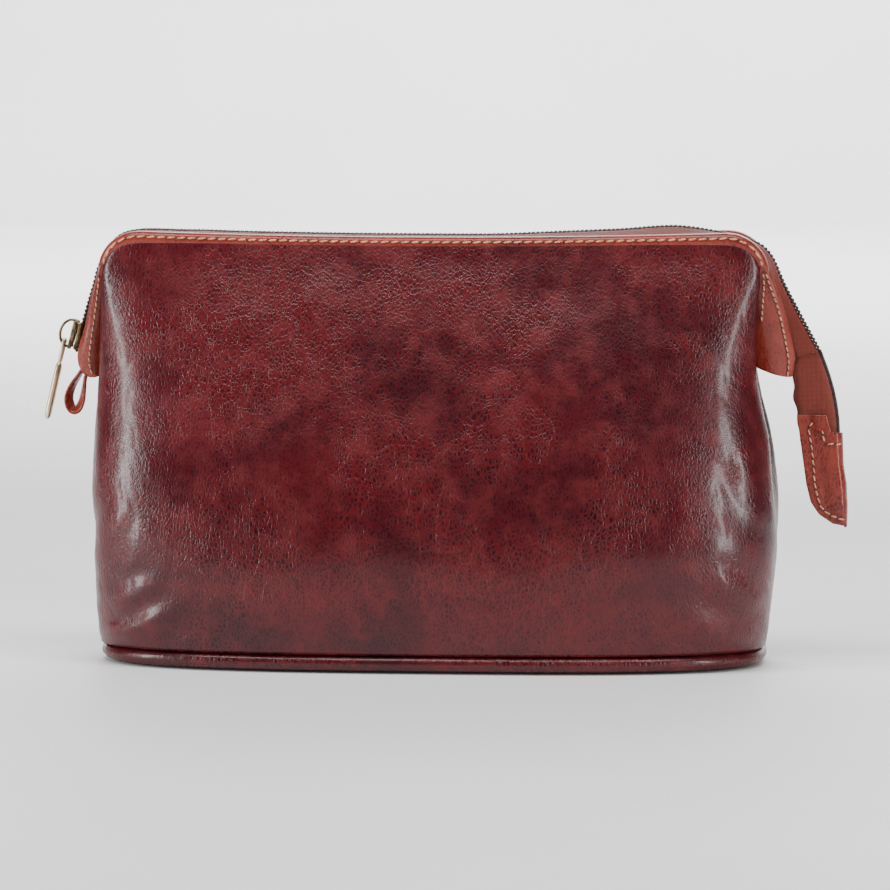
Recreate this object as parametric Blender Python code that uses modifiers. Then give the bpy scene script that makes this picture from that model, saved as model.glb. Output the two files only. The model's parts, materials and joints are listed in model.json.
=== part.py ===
"""Framed leather shaving kit bag with a hinged, zipped mouth.

Origin: floor centre of the base. +X right, -Y front, +Z up. Metres.
"""
import math

import bmesh
import bpy
from mathutils import Vector

MM = 0.001

# Body: half sizes of the leather shell at a few heights.
SHELL_STATIONS = [
    # height, half width, half depth
    (6.8, 132.5, 53.5),
    (22.0, 134.2, 56.0),
    (44.0, 135.2, 56.0),
    (66.0, 135.4, 53.0),
    (90.0, 134.0, 46.5),
    (118.0, 131.4, 36.0),
    (138.0, 130.4, 27.5),
    (160.0, 129.0, 19.5),
]
SHELL_ROUNDNESS = 3.0
SHELL_SPLIT = 114.0
SHELL_TOP = 160.0
LEATHER = 1.8
UPPER_LEATHER = 1.3
LINING = 0.8
GAP = 0.4
LINING_SHARE = 0.8

# Base
BASE_HALF_WIDTH = 132.0
BASE_HALF_DEPTH = 54.0
WELT_RADIUS = 2.8
WELT_HEIGHT = 3.5
BASE_LEATHER = 2.4
BOARD = 1.6

# Mouth frames: a wire U on each side, hinged on one pin axis.
PIN_HEIGHT = 118.0
FRONT_EYE_X = 139.2
REAR_EYE_X = 136.4
BAR_REACH = 49.0
BAR_TILT = math.radians(15.9)
BAR_SAG = 2.0
CORNER_X = 129.5
CORNER_RADIUS = 14.0
WIRE_RADIUS = 1.2
ARM_END = 3.0
EYE_RADIUS = 3.8
EYE_HOLE = 2.0
EYE_THICKNESS = 1.2
RIVET_RADIUS = 1.6
RIVET_HEAD = 3.2
TAB_X = 134.0
RIVET_INNER = 132.2
RIVET_OUTER = 141.8
RIVET_HEAD_THICKNESS = 0.8
CASING_RADIUS = 3.1
CASING_WALL = 1.2
CASING_END = 20.0
EAR_STAND_OFF = 4.1
EAR_THICKNESS = 1.4
EAR_OUTER_RIGHT = 143.4
EAR_OUTER_LEFT = 140.0
PANEL_EDGE_OUT = 4.8
LOOP_PLACE = Vector((-143.6, 0.0, 104.6))
LOOP_LEAN = math.radians(12.0)
LOOP_WIDTH = 6.0

# Zip
TAPE_THICKNESS = 0.7
COIL_RADIUS = 0.75
COIL_OFFSET = 1.15
COIL_CLEARANCE = COIL_RADIUS + 1.0
TAPE_INNER_Y = 9.8
TAPE_CLEARANCE = 4.8
ZIP_TOP = 168.3
ZIP_STEP = 23.8
ZIP_END_DROP = 1.6
TAIL_PIVOT = Vector((144.4, 0.0, 118.5))
TAIL_COIL_RADIUS = 1.1
TAB_THICKNESS = 1.6
TAB_GAP = 1.5

# Slider and puller at the left end of the zip
SLIDER_CENTRE = Vector((-142.9, 0.0, 127.5))
SLIDER_LEAN = math.radians(15.5)
SLIDER_LENGTH = 12.5
SLIDER_WIDTH = 8.0
SLIDER_DEPTH = 4.4
SLIDER_CHANNEL = 5.0
SLIDER_CHANNEL_IN = 1.4
BRIDGE_WIRE = 0.8
BRIDGE_HALF_LENGTH = 5.6
BRIDGE_HEIGHT = 3.2
BRIDGE_GAP = 0.3
PULLER_PIVOT = Vector((-147.5, 0.0, 125.8))
PULLER_LEAN = math.radians(13.0)
PULLER_WIRE = 0.7
PULLER_LENGTH = 33.0
PULLER_BAR = 24.0
PULLER_BAR_THICKNESS = 2.4
PULLER_BAR_WIDTH = 5.4


def clear_scene():
    for obj in list(bpy.data.objects):
        bpy.data.objects.remove(obj, do_unlink=True)


def new_collection(name):
    collection = bpy.data.collections.new(name)
    bpy.context.scene.collection.children.link(collection)
    return collection


def make_material(name, colour, roughness, metallic=0.0):
    material = bpy.data.materials.new(name)
    material.use_nodes = True
    shader = material.node_tree.nodes["Principled BSDF"]
    shader.inputs["Base Color"].default_value = (*colour, 1.0)
    shader.inputs["Roughness"].default_value = roughness
    shader.inputs["Metallic"].default_value = metallic
    return material


def make_materials():
    return {
        "body": make_material("body_leather", (0.13, 0.015, 0.02), 0.3),
        "trim": make_material("trim_leather", (0.2, 0.03, 0.025), 0.32),
        "board": make_material("stiffener", (0.35, 0.28, 0.2), 0.8),
        "lining": make_material("lining_cloth", (0.05, 0.04, 0.04), 0.85),
        "steel": make_material("frame_steel", (0.6, 0.6, 0.6), 0.35, 1.0),
        "rivet": make_material("rivet_brass", (0.5, 0.36, 0.18), 0.35, 1.0),
        "tape": make_material("zip_tape", (0.25, 0.05, 0.03), 0.8),
        "coil": make_material("zip_coil", (0.08, 0.03, 0.02), 0.45),
        "slider": make_material("slider_brass", (0.2, 0.14, 0.08), 0.4, 1.0),
        "puller": make_material("puller_brass", (0.65, 0.55, 0.38), 0.3, 1.0),
    }


def add_object(name, data, material, parent=None):
    """Put new mesh or curve data in the bag's collection under a plain name."""
    obj = bpy.data.objects.new(name, data)
    data.materials.append(material)
    bpy.data.collections["shaving_kit_bag"].objects.link(obj)
    obj.parent = parent
    return obj


def add_pivot(name, place, turn_z=0.0):
    pivot = bpy.data.objects.new(name, None)
    pivot.empty_display_size = 10 * MM
    pivot.location = Vector(place) * MM
    pivot.rotation_euler.z = turn_z
    bpy.data.collections["shaving_kit_bag"].objects.link(pivot)
    return pivot


def sheet(name, point, columns, rows, thickness, material, parent=None):
    """A grid surface point(u, v), u across and v up from 0 to 1, thickened inward."""
    mesh = bpy.data.meshes.new(name)
    grid = bmesh.new()
    for j in range(rows + 1):
        for i in range(columns + 1):
            grid.verts.new(Vector(point(i / columns, j / rows)) * MM)
    grid.verts.ensure_lookup_table()
    wide = columns + 1
    for j in range(rows):
        for i in range(columns):
            corner = j * wide + i
            ring = (corner, corner + 1, corner + wide + 1, corner + wide)
            grid.faces.new([grid.verts[k] for k in ring])
    grid.to_mesh(mesh)
    grid.free()
    obj = add_object(name, mesh, material, parent)
    mesh.shade_smooth()
    solidify = obj.modifiers.new("thickness", "SOLIDIFY")
    solidify.thickness = thickness * MM
    solidify.offset = -1.0
    return obj


def wire(name, points, radius, material, parent=None, cyclic=False, caps=True, sides=2):
    """A round wire or cord through points."""
    curve = bpy.data.curves.new(name, "CURVE")
    curve.dimensions = "3D"
    curve.bevel_depth = radius * MM
    curve.bevel_resolution = sides
    curve.use_fill_caps = caps
    spline = curve.splines.new("POLY")
    spline.points.add(len(points) - 1)
    for target, point in zip(spline.points, points):
        target.co = (*(Vector(point) * MM), 1.0)
    spline.use_cyclic_u = cyclic
    return add_object(name, curve, material, parent)


def plate(name, outlines, thickness, material, parent=None):
    """A flat outline in the object's XY plane; a second outline is a hole."""
    curve = bpy.data.curves.new(name, "CURVE")
    curve.dimensions = "2D"
    curve.fill_mode = "BOTH"
    curve.extrude = thickness * MM / 2
    for outline in outlines:
        spline = curve.splines.new("POLY")
        spline.points.add(len(outline) - 1)
        for target, (x, y) in zip(spline.points, outline):
            target.co = (x * MM, y * MM, 0.0, 1.0)
        spline.use_cyclic_u = True
    return add_object(name, curve, material, parent)


def to_mesh(obj):
    """Swap a curve object for a mesh object of the same name, place and parent."""
    bpy.context.view_layer.update()
    evaluated = obj.evaluated_get(bpy.context.evaluated_depsgraph_get())
    mesh = bpy.data.meshes.new_from_object(evaluated)
    weld = bmesh.new()
    weld.from_mesh(mesh)
    bmesh.ops.remove_doubles(weld, verts=weld.verts, dist=0.001 * MM)
    weld.to_mesh(mesh)
    weld.free()
    name = obj.name
    parent = obj.parent
    place = obj.matrix_world.copy()
    bpy.data.objects.remove(obj, do_unlink=True)
    solid = bpy.data.objects.new(name, mesh)
    bpy.data.collections["shaving_kit_bag"].objects.link(solid)
    solid.parent = parent
    solid.matrix_world = place
    return solid


def cylinder(name, radius, length, centre, turn, material, parent=None, sides=24):
    """A cylinder along local X, placed by its centre; turn is about Y."""
    mesh = bpy.data.meshes.new(name)
    shape = bmesh.new()
    bmesh.ops.create_cone(shape, cap_ends=True, segments=sides, radius1=radius * MM,
                          radius2=radius * MM, depth=length * MM)
    shape.to_mesh(mesh)
    shape.free()
    obj = add_object(name, mesh, material, parent)
    obj.location = Vector(centre) * MM
    obj.rotation_euler.y = math.pi / 2 + turn
    return obj


def box(name, size, centre, turn, material, parent=None):
    """A box placed by its centre and turned about Y."""
    mesh = bpy.data.meshes.new(name)
    shape = bmesh.new()
    bmesh.ops.create_cube(shape, size=1.0)
    bmesh.ops.scale(shape, vec=Vector(size) * MM, verts=shape.verts)
    shape.to_mesh(mesh)
    shape.free()
    obj = add_object(name, mesh, material, parent)
    obj.location = Vector(centre) * MM
    obj.rotation_euler.y = turn
    return obj


def combine(target, tool, operation):
    """Join a helper to a piece, or cut it away, and hide the helper."""
    collection = bpy.data.collections["shaving_kit_bag"]
    collection.objects.unlink(tool)
    bpy.data.collections["cutters"].objects.link(tool)
    tool.hide_render = True
    tool.display_type = "WIRE"
    boolean = target.modifiers.new(operation.lower(), "BOOLEAN")
    boolean.operation = operation
    boolean.object = tool


def bevel(obj, width):
    rounding = obj.modifiers.new("rounding", "BEVEL")
    rounding.width = width * MM
    rounding.segments = 2
    rounding.limit_method = "ANGLE"


def blend_stations(height):
    """Half width and half depth at a height, on a smooth curve through the stations."""
    stations = SHELL_STATIONS
    last = len(stations) - 1
    k = 0
    while k < last - 1 and height > stations[k + 1][0]:
        k += 1
    here, there = stations[k], stations[k + 1]
    before, after = stations[max(k - 1, 0)], stations[min(k + 2, last)]
    t = (height - here[0]) / (there[0] - here[0])
    sizes = []
    for axis in (1, 2):
        slope_in = (there[axis] - before[axis]) / (there[0] - before[0]) * (there[0] - here[0])
        slope_out = (after[axis] - here[axis]) / (after[0] - here[0]) * (there[0] - here[0])
        sizes.append((2 * t**3 - 3 * t**2 + 1) * here[axis] + (t**3 - 2 * t**2 + t) * slope_in
                     + (3 * t**2 - 2 * t**3) * there[axis] + (t**3 - t**2) * slope_out)
    return sizes


def shell_point(across, height, inset, edge_y):
    """A point of the front half of the shell; across runs from -1 at the left to 1."""
    half_width, half_depth = blend_stations(height)
    round_start = SHELL_TOP - 10.0
    if height > round_start:
        drop = height - round_start
        half_width += math.sqrt(CORNER_RADIUS**2 - drop**2) - CORNER_RADIUS
    angle = across * math.pi / 2
    power = 2 / SHELL_ROUNDNESS
    side = math.copysign(abs(math.sin(angle)) ** power, across)
    bulge = max(math.cos(angle), 0.0) ** power
    x = (half_width - inset) * side
    y = edge_y + (half_depth - inset - edge_y) * bulge
    return Vector((x, -y, height))


def jaw_point(x, rise, stand_off=0.0):
    """A point of a mouth frame's tilted plane, measured from the pin axis."""
    y = -rise * math.sin(BAR_TILT) - stand_off * math.cos(BAR_TILT)
    z = rise * math.cos(BAR_TILT) - stand_off * math.sin(BAR_TILT)
    return Vector((x, y, z))


def frame_outline(eye_x, end_rise):
    """The U of a mouth frame as (x, rise) points; both arms are cut off at end_rise."""
    straight = CORNER_X - CORNER_RADIUS
    right = [(straight, BAR_REACH)]
    for k in range(1, 7):
        angle = math.pi / 2 * (1 - k / 6)
        right.append((straight + CORNER_RADIUS * math.cos(angle),
                      BAR_REACH - CORNER_RADIUS * (1 - math.sin(angle))))
    corner_rise = BAR_REACH - CORNER_RADIUS
    arm_length = corner_rise - ARM_END
    for k in range(1, 4):
        drop = (corner_rise - end_rise) * k / 3
        right.append((CORNER_X + (eye_x - CORNER_X) * drop / arm_length, corner_rise - drop))
    bar = []
    for k in range(-4, 5):
        x = straight * k / 5
        bar.append((x, BAR_REACH - BAR_SAG * (1 - (x / straight) ** 2)))
    left = [(-x, rise) for x, rise in reversed(right)]
    return left + bar + right


def superellipse(half_width, half_depth, count, roundness=SHELL_ROUNDNESS):
    points = []
    for k in range(count):
        angle = 2 * math.pi * k / count
        c, s = math.cos(angle), math.sin(angle)
        points.append((math.copysign(abs(c) ** (2 / roundness) * half_width, c),
                       math.copysign(abs(s) ** (2 / roundness) * half_depth, s)))
    return points


def build_base(materials):
    inner_width = BASE_HALF_WIDTH - 2 * WELT_RADIUS - GAP
    inner_depth = BASE_HALF_DEPTH - 2 * WELT_RADIUS - GAP
    panel = plate("base_panel", [superellipse(inner_width, inner_depth, 64)],
                  BASE_LEATHER, materials["body"])
    panel.location.z = BASE_LEATHER / 2 * MM
    board = plate("base_board", [superellipse(inner_width - 3, inner_depth - 3, 48)],
                  BOARD, materials["board"])
    board.location.z = (BASE_LEATHER + GAP + BOARD / 2) * MM
    lining = plate("base_lining", [superellipse(inner_width - 4, inner_depth - 4, 48)],
                   LINING, materials["lining"])
    lining.location.z = (BASE_LEATHER + BOARD + 2 * GAP + LINING / 2) * MM
    ring = superellipse(BASE_HALF_WIDTH - WELT_RADIUS, BASE_HALF_DEPTH - WELT_RADIUS, 72)
    wire("base_welt", [(x, y, WELT_HEIGHT) for x, y in ring], WELT_RADIUS,
         materials["trim"], cyclic=True)


def build_lower_half(name, pivot, materials):
    """One leather half of the body below the hinges, with its lining."""
    bottom = SHELL_STATIONS[0][0]

    def leather(u, v):
        return shell_point(2 * u - 1, bottom + (SHELL_SPLIT - bottom) * v, 0.0, GAP / 2)

    def cloth(u, v):
        height = bottom + 0.4 + (SHELL_SPLIT - 5.0 - bottom) * v
        return shell_point(2 * u - 1, height, LEATHER + 0.7, GAP / 2)

    sheet(name + "_panel_lower", leather, 32, 10, LEATHER, materials["body"], pivot)
    sheet(name + "_lining_lower", cloth, 24, 6, LINING, materials["lining"], pivot)


def build_frame_wire(name, eye_x, pivot, materials):
    """The steel U: a wire with a flat pierced eye at each end."""
    points = [jaw_point(x, rise) for x, rise in frame_outline(eye_x, ARM_END)]
    frame = to_mesh(wire(name + "_frame", points, WIRE_RADIUS, materials["steel"], pivot))
    for side in (-1, 1):
        centre = (side * eye_x, 0, 0)
        eye = cylinder(name + "_eye_blank", EYE_RADIUS, EYE_THICKNESS, centre, 0.0,
                       materials["steel"], pivot)
        combine(frame, eye, "UNION")
    for side in (-1, 1):
        centre = (side * eye_x, 0, 0)
        hole = cylinder(name + "_eye_hole", EYE_HOLE, 4 * EYE_THICKNESS, centre, 0.0,
                        materials["steel"], pivot)
        combine(frame, hole, "DIFFERENCE")


def build_casing(name, eye_x, pivot, materials):
    """The leather sleeve that the wire runs in."""
    points = [jaw_point(x, rise) for x, rise in frame_outline(eye_x, CASING_END)]
    casing = to_mesh(wire(name + "_casing", points, CASING_RADIUS, materials["trim"], pivot,
                          caps=False))
    solidify = casing.modifiers.new("wall", "SOLIDIFY")
    solidify.thickness = CASING_WALL * MM
    solidify.offset = -1.0


def ear_outline(outer_x):
    """The ear as (x, rise) points: narrow at the frame's corner, wide at the hinge."""
    inner = [(132.8, 1.0), (131.8, 20.0), (131.4, 36.0)]
    outer = [(133.2, 36.0), (outer_x - 4.4, 20.0), (outer_x - 1.2, 9.0), (outer_x, 3.0),
             (outer_x - 0.8, 1.0)]
    return inner + outer


def build_ears(name, pivot, turned, materials):
    for side_name, side in (("left", -1), ("right", 1)):
        world_side = -side if turned else side
        outer_x = EAR_OUTER_RIGHT if world_side > 0 else EAR_OUTER_LEFT
        outline = [(side * x, rise) for x, rise in ear_outline(outer_x)]
        world_name = "right" if world_side > 0 else "left"
        ear = plate(f"{name}_{world_name}_ear", [outline], EAR_THICKNESS, materials["trim"], pivot)
        ear.rotation_euler.x = math.pi / 2 + BAR_TILT
        ear.location = jaw_point(0, 0, EAR_STAND_OFF + EAR_THICKNESS / 2) * MM


def build_upper_half(name, pivot, materials):
    """The leather and lining between the hinges and the bar, carried by the frame."""
    bottom = SHELL_SPLIT + 1.0

    def edge(height):
        return max(height - PIN_HEIGHT, 0.0) * math.tan(BAR_TILT) + PANEL_EDGE_OUT

    def leather(u, v):
        height = bottom + (SHELL_TOP - bottom) * v
        return shell_point(2 * u - 1, height, 0.0, edge(height)) - Vector((0, 0, PIN_HEIGHT))

    def cloth(u, v):
        height = bottom + (SHELL_TOP - 4.0 - bottom) * v
        across = LINING_SHARE * (2 * u - 1)
        point = shell_point(across, height, LEATHER + 1.8, edge(height))
        return point - Vector((0, 0, PIN_HEIGHT))

    sheet(name + "_panel_upper", leather, 28, 6, UPPER_LEATHER, materials["body"], pivot)
    sheet(name + "_lining_upper", cloth, 16, 4, LINING, materials["lining"], pivot)


def zip_route():
    """Matched points of the zip from its left end to the right hinge.

    Each entry has the sewn edge of the front tape and the tape's edge at the teeth.
    """
    teeth_y = -COIL_OFFSET
    sewn = []
    teeth = []
    left = [(-143.2, 121.0), (-138.9, 136.0), (-135.6, 147.0), (-132.2, 157.0)]
    left_sewn = [(-140.6, 125.2), (-135.0, 135.0), (-132.6, 145.5), (-130.8, 155.5)]
    for (x, z), (sewn_x, sewn_z) in zip(left, left_sewn):
        lean = (sewn_z - PIN_HEIGHT) * math.tan(BAR_TILT)
        teeth.append(Vector((x, teeth_y, z)))
        sewn.append(Vector((sewn_x, -max(lean - TAPE_CLEARANCE, 1.2), sewn_z)))
    for k in range(-5, 6):
        x = k * ZIP_STEP
        sag = BAR_SAG * (1 - (k / 5) ** 2)
        height = ZIP_TOP - sag - (ZIP_END_DROP if abs(k) == 5 else 0.0)
        teeth.append(Vector((x * 1.03, teeth_y, height)))
        sewn.append(Vector((x, -TAPE_INNER_Y, height - 0.6)))
    right = [(132.0, 161.0), (138.4, 148.0), (145.6, 134.5), (152.2, 122.4)]
    right_sewn = [(131.4, 156.0), (136.0, 142.5), (140.5, 130.5), (144.4, 120.2)]
    for (x, z), (sewn_x, sewn_z) in zip(right, right_sewn):
        lean = (sewn_z - PIN_HEIGHT) * math.tan(BAR_TILT)
        teeth.append(Vector((x, teeth_y, z)))
        sewn.append(Vector((sewn_x, -max(lean - TAPE_CLEARANCE, 1.2), sewn_z)))
    return sewn, teeth


def build_zip_half(name, pivot, turned, materials):
    """The tape and coil half that one frame carries."""
    sewn, teeth = zip_route()
    if turned:
        sewn = [Vector((-p.x, p.y, p.z)) for p in reversed(sewn)]
        teeth = [Vector((-p.x, p.y, p.z)) for p in reversed(teeth)]
    first = 0 if turned else 1
    count = len(sewn) - 2
    down = Vector((0, 0, PIN_HEIGHT))

    def tape(u, v):
        k = first + round(u * count)
        across = teeth[k] - sewn[k]
        if across.length < 2 * COIL_CLEARANCE:
            raise ValueError(f"the tape is too narrow at {sewn[k]}")
        reach = 1 - COIL_CLEARANCE / across.length
        return sewn[k] + across * reach * v - down

    sheet(name + "_tape", tape, count, 2, TAPE_THICKNESS, materials["tape"], pivot)
    wire(name + "_coil", [point - down for point in teeth], COIL_RADIUS, materials["coil"], pivot)


def build_jaw(name, pivot, eye_x, turned, materials):
    build_frame_wire(name, eye_x, pivot, materials)
    build_casing(name, eye_x, pivot, materials)
    build_ears(name, pivot, turned, materials)
    build_upper_half(name, pivot, materials)
    build_zip_half(name, pivot, turned, materials)


def build_hinges(materials):
    """A leather tab and a rivet at each end of the mouth."""
    for name, side in (("left", -1), ("right", 1)):
        tab = cylinder(name + "_hinge_tab", EYE_RADIUS, 1.0, (side * TAB_X, 0, PIN_HEIGHT), 0.0,
                       materials["trim"])
        hole = cylinder(name + "_tab_hole", EYE_HOLE, 6.0, (side * TAB_X, 0, PIN_HEIGHT), 0.0,
                        materials["trim"])
        combine(tab, hole, "DIFFERENCE")
        middle = side * (RIVET_INNER + RIVET_OUTER) / 2
        rivet = cylinder(name + "_hinge_rivet", RIVET_RADIUS, RIVET_OUTER - RIVET_INNER,
                         (middle, 0, PIN_HEIGHT), 0.0, materials["rivet"])
        half_head = RIVET_HEAD_THICKNESS / 2
        for place in (RIVET_INNER + half_head, RIVET_OUTER - half_head):
            head = cylinder(name + "_rivet_head", RIVET_HEAD, RIVET_HEAD_THICKNESS,
                            (side * place, 0, PIN_HEIGHT), 0.0, materials["rivet"])
            combine(rivet, head, "UNION")


def build_finger_loop(materials):
    """A small strap folded into a ring below the left hinge."""
    outer = superellipse(3.7, 8.8, 28, 2.2)
    inner = superellipse(2.2, 7.2, 28, 2.2)
    loop = plate("finger_loop", [outer, inner], LOOP_WIDTH, materials["trim"])
    loop.rotation_euler = (math.pi / 2, LOOP_LEAN, 0)
    loop.location = LOOP_PLACE * MM


def build_tail(pivot, materials):
    """The end of the zip that hangs past the right hinge, with its leather end."""
    teeth = [Vector((152.7, 0, 121.4)), Vector((156.6, 0, 113.0)), Vector((159.6, 0, 104.4)),
             Vector((161.4, 0, 96.0)), Vector((162.0, 0, 87.5))]
    sewn = [Vector((144.9, 0, 119.0)), Vector((145.2, 0, 112.0)), Vector((146.6, 0, 103.0)),
            Vector((147.6, 0, 95.0)), Vector((148.4, 0, 87.0))]
    for name, side in (("front", -1), ("rear", 1)):
        order = 1 if side < 0 else -1

        def tape(u, v, side=side, order=order):
            k = round(u * 4)
            first, second = (sewn[k], teeth[k])[::order]
            across = teeth[k] - sewn[k]
            end = across.normalized() * (TAIL_COIL_RADIUS + GAP)
            if order > 0:
                second = second - end
            else:
                first = first - end
            point = first + (second - first) * v
            return Vector((point.x, side * COIL_OFFSET, point.z)) - TAIL_PIVOT

        sheet(name + "_tail_tape", tape, 4, 2, TAPE_THICKNESS, materials["tape"], pivot)
    wire("tail_coil", [point - TAIL_PIVOT for point in teeth], TAIL_COIL_RADIUS,
         materials["coil"], pivot)
    outline = [(146.4, 97.4), (148.4, 82.0), (149.6, 70.0), (151.4, 63.0), (154.4, 58.2),
               (160.0, 54.4), (166.0, 53.4), (166.0, 61.0), (165.7, 70.2), (164.5, 77.5),
               (163.8, 90.0), (159.2, 90.7), (157.2, 97.4)]
    for name, side in (("front", -1), ("rear", 1)):
        flat = [(x - TAIL_PIVOT.x, z - TAIL_PIVOT.z) for x, z in outline]
        tab = plate("end_tab_" + name, [flat], TAB_THICKNESS, materials["trim"], pivot)
        tab.rotation_euler.x = math.pi / 2
        tab.location.y = side * (TAB_GAP + TAB_THICKNESS / 2) * MM


def build_slider(pivot, materials):
    """The slider straddles the coils; its bridge stands on the outer face."""
    lean = SLIDER_LEAN
    body = box("slider_body", (SLIDER_DEPTH, SLIDER_WIDTH, SLIDER_LENGTH), (0, 0, 0), lean,
               materials["slider"], pivot)
    along = Vector((math.sin(lean), 0, math.cos(lean)))
    inward = Vector((math.cos(lean), 0, -math.sin(lean)))
    channel = box("slider_channel_cutter", (SLIDER_DEPTH, SLIDER_CHANNEL, 2 * SLIDER_LENGTH),
                  inward * SLIDER_CHANNEL_IN, lean, materials["slider"], pivot)
    combine(body, channel, "DIFFERENCE")
    bevel(body, 0.4)
    foot = -inward * (SLIDER_DEPTH / 2 + BRIDGE_GAP + BRIDGE_WIRE)
    points = []
    for k in range(13):
        angle = math.pi * k / 12
        points.append(foot + along * (BRIDGE_HALF_LENGTH * math.cos(angle))
                      - inward * (BRIDGE_HEIGHT * math.sin(angle)))
    wire("slider_bridge", points, BRIDGE_WIRE, materials["slider"], pivot)


def build_puller(pivot, materials):
    """An eye round the bridge, a short neck and a long flat bar."""
    down = Vector((-math.sin(PULLER_LEAN), 0, -math.cos(PULLER_LEAN)))
    sideways = Vector((0, 1, 0))
    ring = []
    for across, drop in ((-2.4, 0.0), (2.4, 0.0), (2.4, 6.0), (0.0, 8.4), (-2.4, 6.0)):
        ring.append(sideways * across + down * drop)
    eye = to_mesh(wire("puller", ring, PULLER_WIRE, materials["puller"], pivot, cyclic=True,
                       sides=4))
    bar = box("puller_bar_blank", (PULLER_BAR_THICKNESS, PULLER_BAR_WIDTH, PULLER_BAR),
              down * (PULLER_LENGTH - PULLER_BAR / 2), PULLER_LEAN, materials["puller"], pivot)
    bevel(bar, 0.8)
    combine(eye, bar, "UNION")


def main():
    clear_scene()
    new_collection("shaving_kit_bag")
    new_collection("cutters")
    materials = make_materials()
    build_base(materials)
    front_side = add_pivot("front_side", (0, 0, 0))
    rear_side = add_pivot("rear_side", (0, 0, 0), math.pi)
    build_lower_half("front", front_side, materials)
    build_lower_half("rear", rear_side, materials)
    build_hinges(materials)
    build_finger_loop(materials)
    front_axis = add_pivot("front_jaw_axis", (0, 0, PIN_HEIGHT))
    rear_axis = add_pivot("rear_jaw_axis", (0, 0, PIN_HEIGHT), math.pi)
    build_jaw("front", front_axis, FRONT_EYE_X, False, materials)
    build_jaw("rear", rear_axis, REAR_EYE_X, True, materials)
    build_tail(add_pivot("tail_axis", TAIL_PIVOT), materials)
    build_slider(add_pivot("slider_axis", SLIDER_CENTRE), materials)
    build_puller(add_pivot("puller_axis", PULLER_PIVOT), materials)


main()
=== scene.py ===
"""Looks of the framed leather shaving kit bag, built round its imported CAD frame."""
import json
import math

import bmesh
import bpy
from mathutils import Matrix, Vector, noise


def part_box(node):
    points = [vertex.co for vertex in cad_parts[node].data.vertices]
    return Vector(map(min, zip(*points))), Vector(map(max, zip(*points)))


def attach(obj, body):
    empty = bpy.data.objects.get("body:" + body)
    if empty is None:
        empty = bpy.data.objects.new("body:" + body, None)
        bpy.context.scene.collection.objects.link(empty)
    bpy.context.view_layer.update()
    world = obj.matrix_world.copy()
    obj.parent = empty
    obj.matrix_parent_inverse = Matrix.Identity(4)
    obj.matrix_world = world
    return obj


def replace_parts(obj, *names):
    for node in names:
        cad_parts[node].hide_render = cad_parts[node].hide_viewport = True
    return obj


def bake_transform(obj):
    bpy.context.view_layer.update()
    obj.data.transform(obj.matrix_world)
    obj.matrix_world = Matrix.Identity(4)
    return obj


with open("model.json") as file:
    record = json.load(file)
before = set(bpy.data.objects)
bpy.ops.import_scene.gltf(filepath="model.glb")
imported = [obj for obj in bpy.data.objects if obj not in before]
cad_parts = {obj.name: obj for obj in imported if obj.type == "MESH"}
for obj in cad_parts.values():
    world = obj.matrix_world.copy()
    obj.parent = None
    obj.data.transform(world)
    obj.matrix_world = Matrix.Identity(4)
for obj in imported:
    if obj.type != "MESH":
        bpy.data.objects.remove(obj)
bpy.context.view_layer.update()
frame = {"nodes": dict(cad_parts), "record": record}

MM = 0.001

# Joints and places taken from the frame.
JOINTS = {joint["name"]: joint for joint in frame["record"]["behaviour"]["joints"]}
PIN_HEIGHT = JOINTS["front_jaw_open"]["pos_m"][2] / MM
PULLER_PIVOT = Vector(JOINTS["puller_swing"]["pos_m"]) / MM
WELT_LOW, WELT_HIGH = (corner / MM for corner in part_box("base_welt"))
WELT_RADIUS = (WELT_HIGH.z - WELT_LOW.z) / 2
WELT_HEIGHT = (WELT_HIGH.z + WELT_LOW.z) / 2
BASE_HALF_WIDTH = WELT_HIGH.x
BASE_HALF_DEPTH = WELT_HIGH.y
PANEL_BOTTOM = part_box("front_panel_lower")[0].z / MM

# The leather shell's half sizes at a few heights.
SHELL_STATIONS = [
    # height, left half width, right half width, half depth, roundness of the plan
    (6.8, 132.4, 131.8, 53.0, 3.0),
    (15.0, 133.4, 133.0, 54.8, 3.2),
    (28.0, 133.4, 134.4, 56.0, 3.5),
    (48.0, 133.2, 136.4, 56.0, 3.7),
    (68.0, 134.4, 136.2, 52.6, 3.8),
    (88.0, 134.2, 134.2, 47.0, 3.8),
    (108.0, 133.2, 129.6, 39.6, 3.8),
    (118.0, 132.4, 127.8, 35.8, 3.8),
    (138.0, 131.4, 127.4, 27.6, 3.6),
    (156.0, 130.2, 129.0, 20.2, 3.4),
    (164.8, 129.8, 129.2, 17.0, 3.2),
]
PANEL_TOP = 166.0
LEATHER = 1.6
# Share of the panel's rows that lie below the round of its upper corners.
EVEN_ROWS = 0.86
LINING_TOP = 160.0
LINING_REACH = 0.97
LINING_INSET = 3.2
LINING_CLOTH = 0.7
SIDE_TUCK = 5.0
SIDE_TUCK_FROM = (34.0, 96.0)
SIDE_TUCK_TO = (108.0, 122.0)
SIDE_GAP = 2.4
PANEL_GRID = (200, 110)
LINING_GRID = (60, 90)
# Where the hide's folds fade in above the base, and out below the casing and towards the side
# edges, which are 1.0 from the middle.
FOLDS_START = (6.8, 15.0)
FOLDS_END = (148.0, 163.0)
FOLDS_SIDE = (0.93, 1.0)

# Mouth frames: the U each casing follows.
BAR_REACH = 50.5
BAR_TILT = math.radians(15.9)
BAR_SAG = 2.0
SAG_FROM = 130.0
CORNER_X = 129.5
CORNER_RADIUS = 14.0
EYE_X = 138.6
CASING_RADIUS = 3.0
CASING_POWER = 2.3
ARM_END = 3.0
CASING_END = 20.0
CASING_SEAM_END = 30.0
CASING_SEAM_SPREAD = 1.004
CASING_SEAM_RISE = 1.6
CASING_SEAM_STAND_OFF = 2.6

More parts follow.
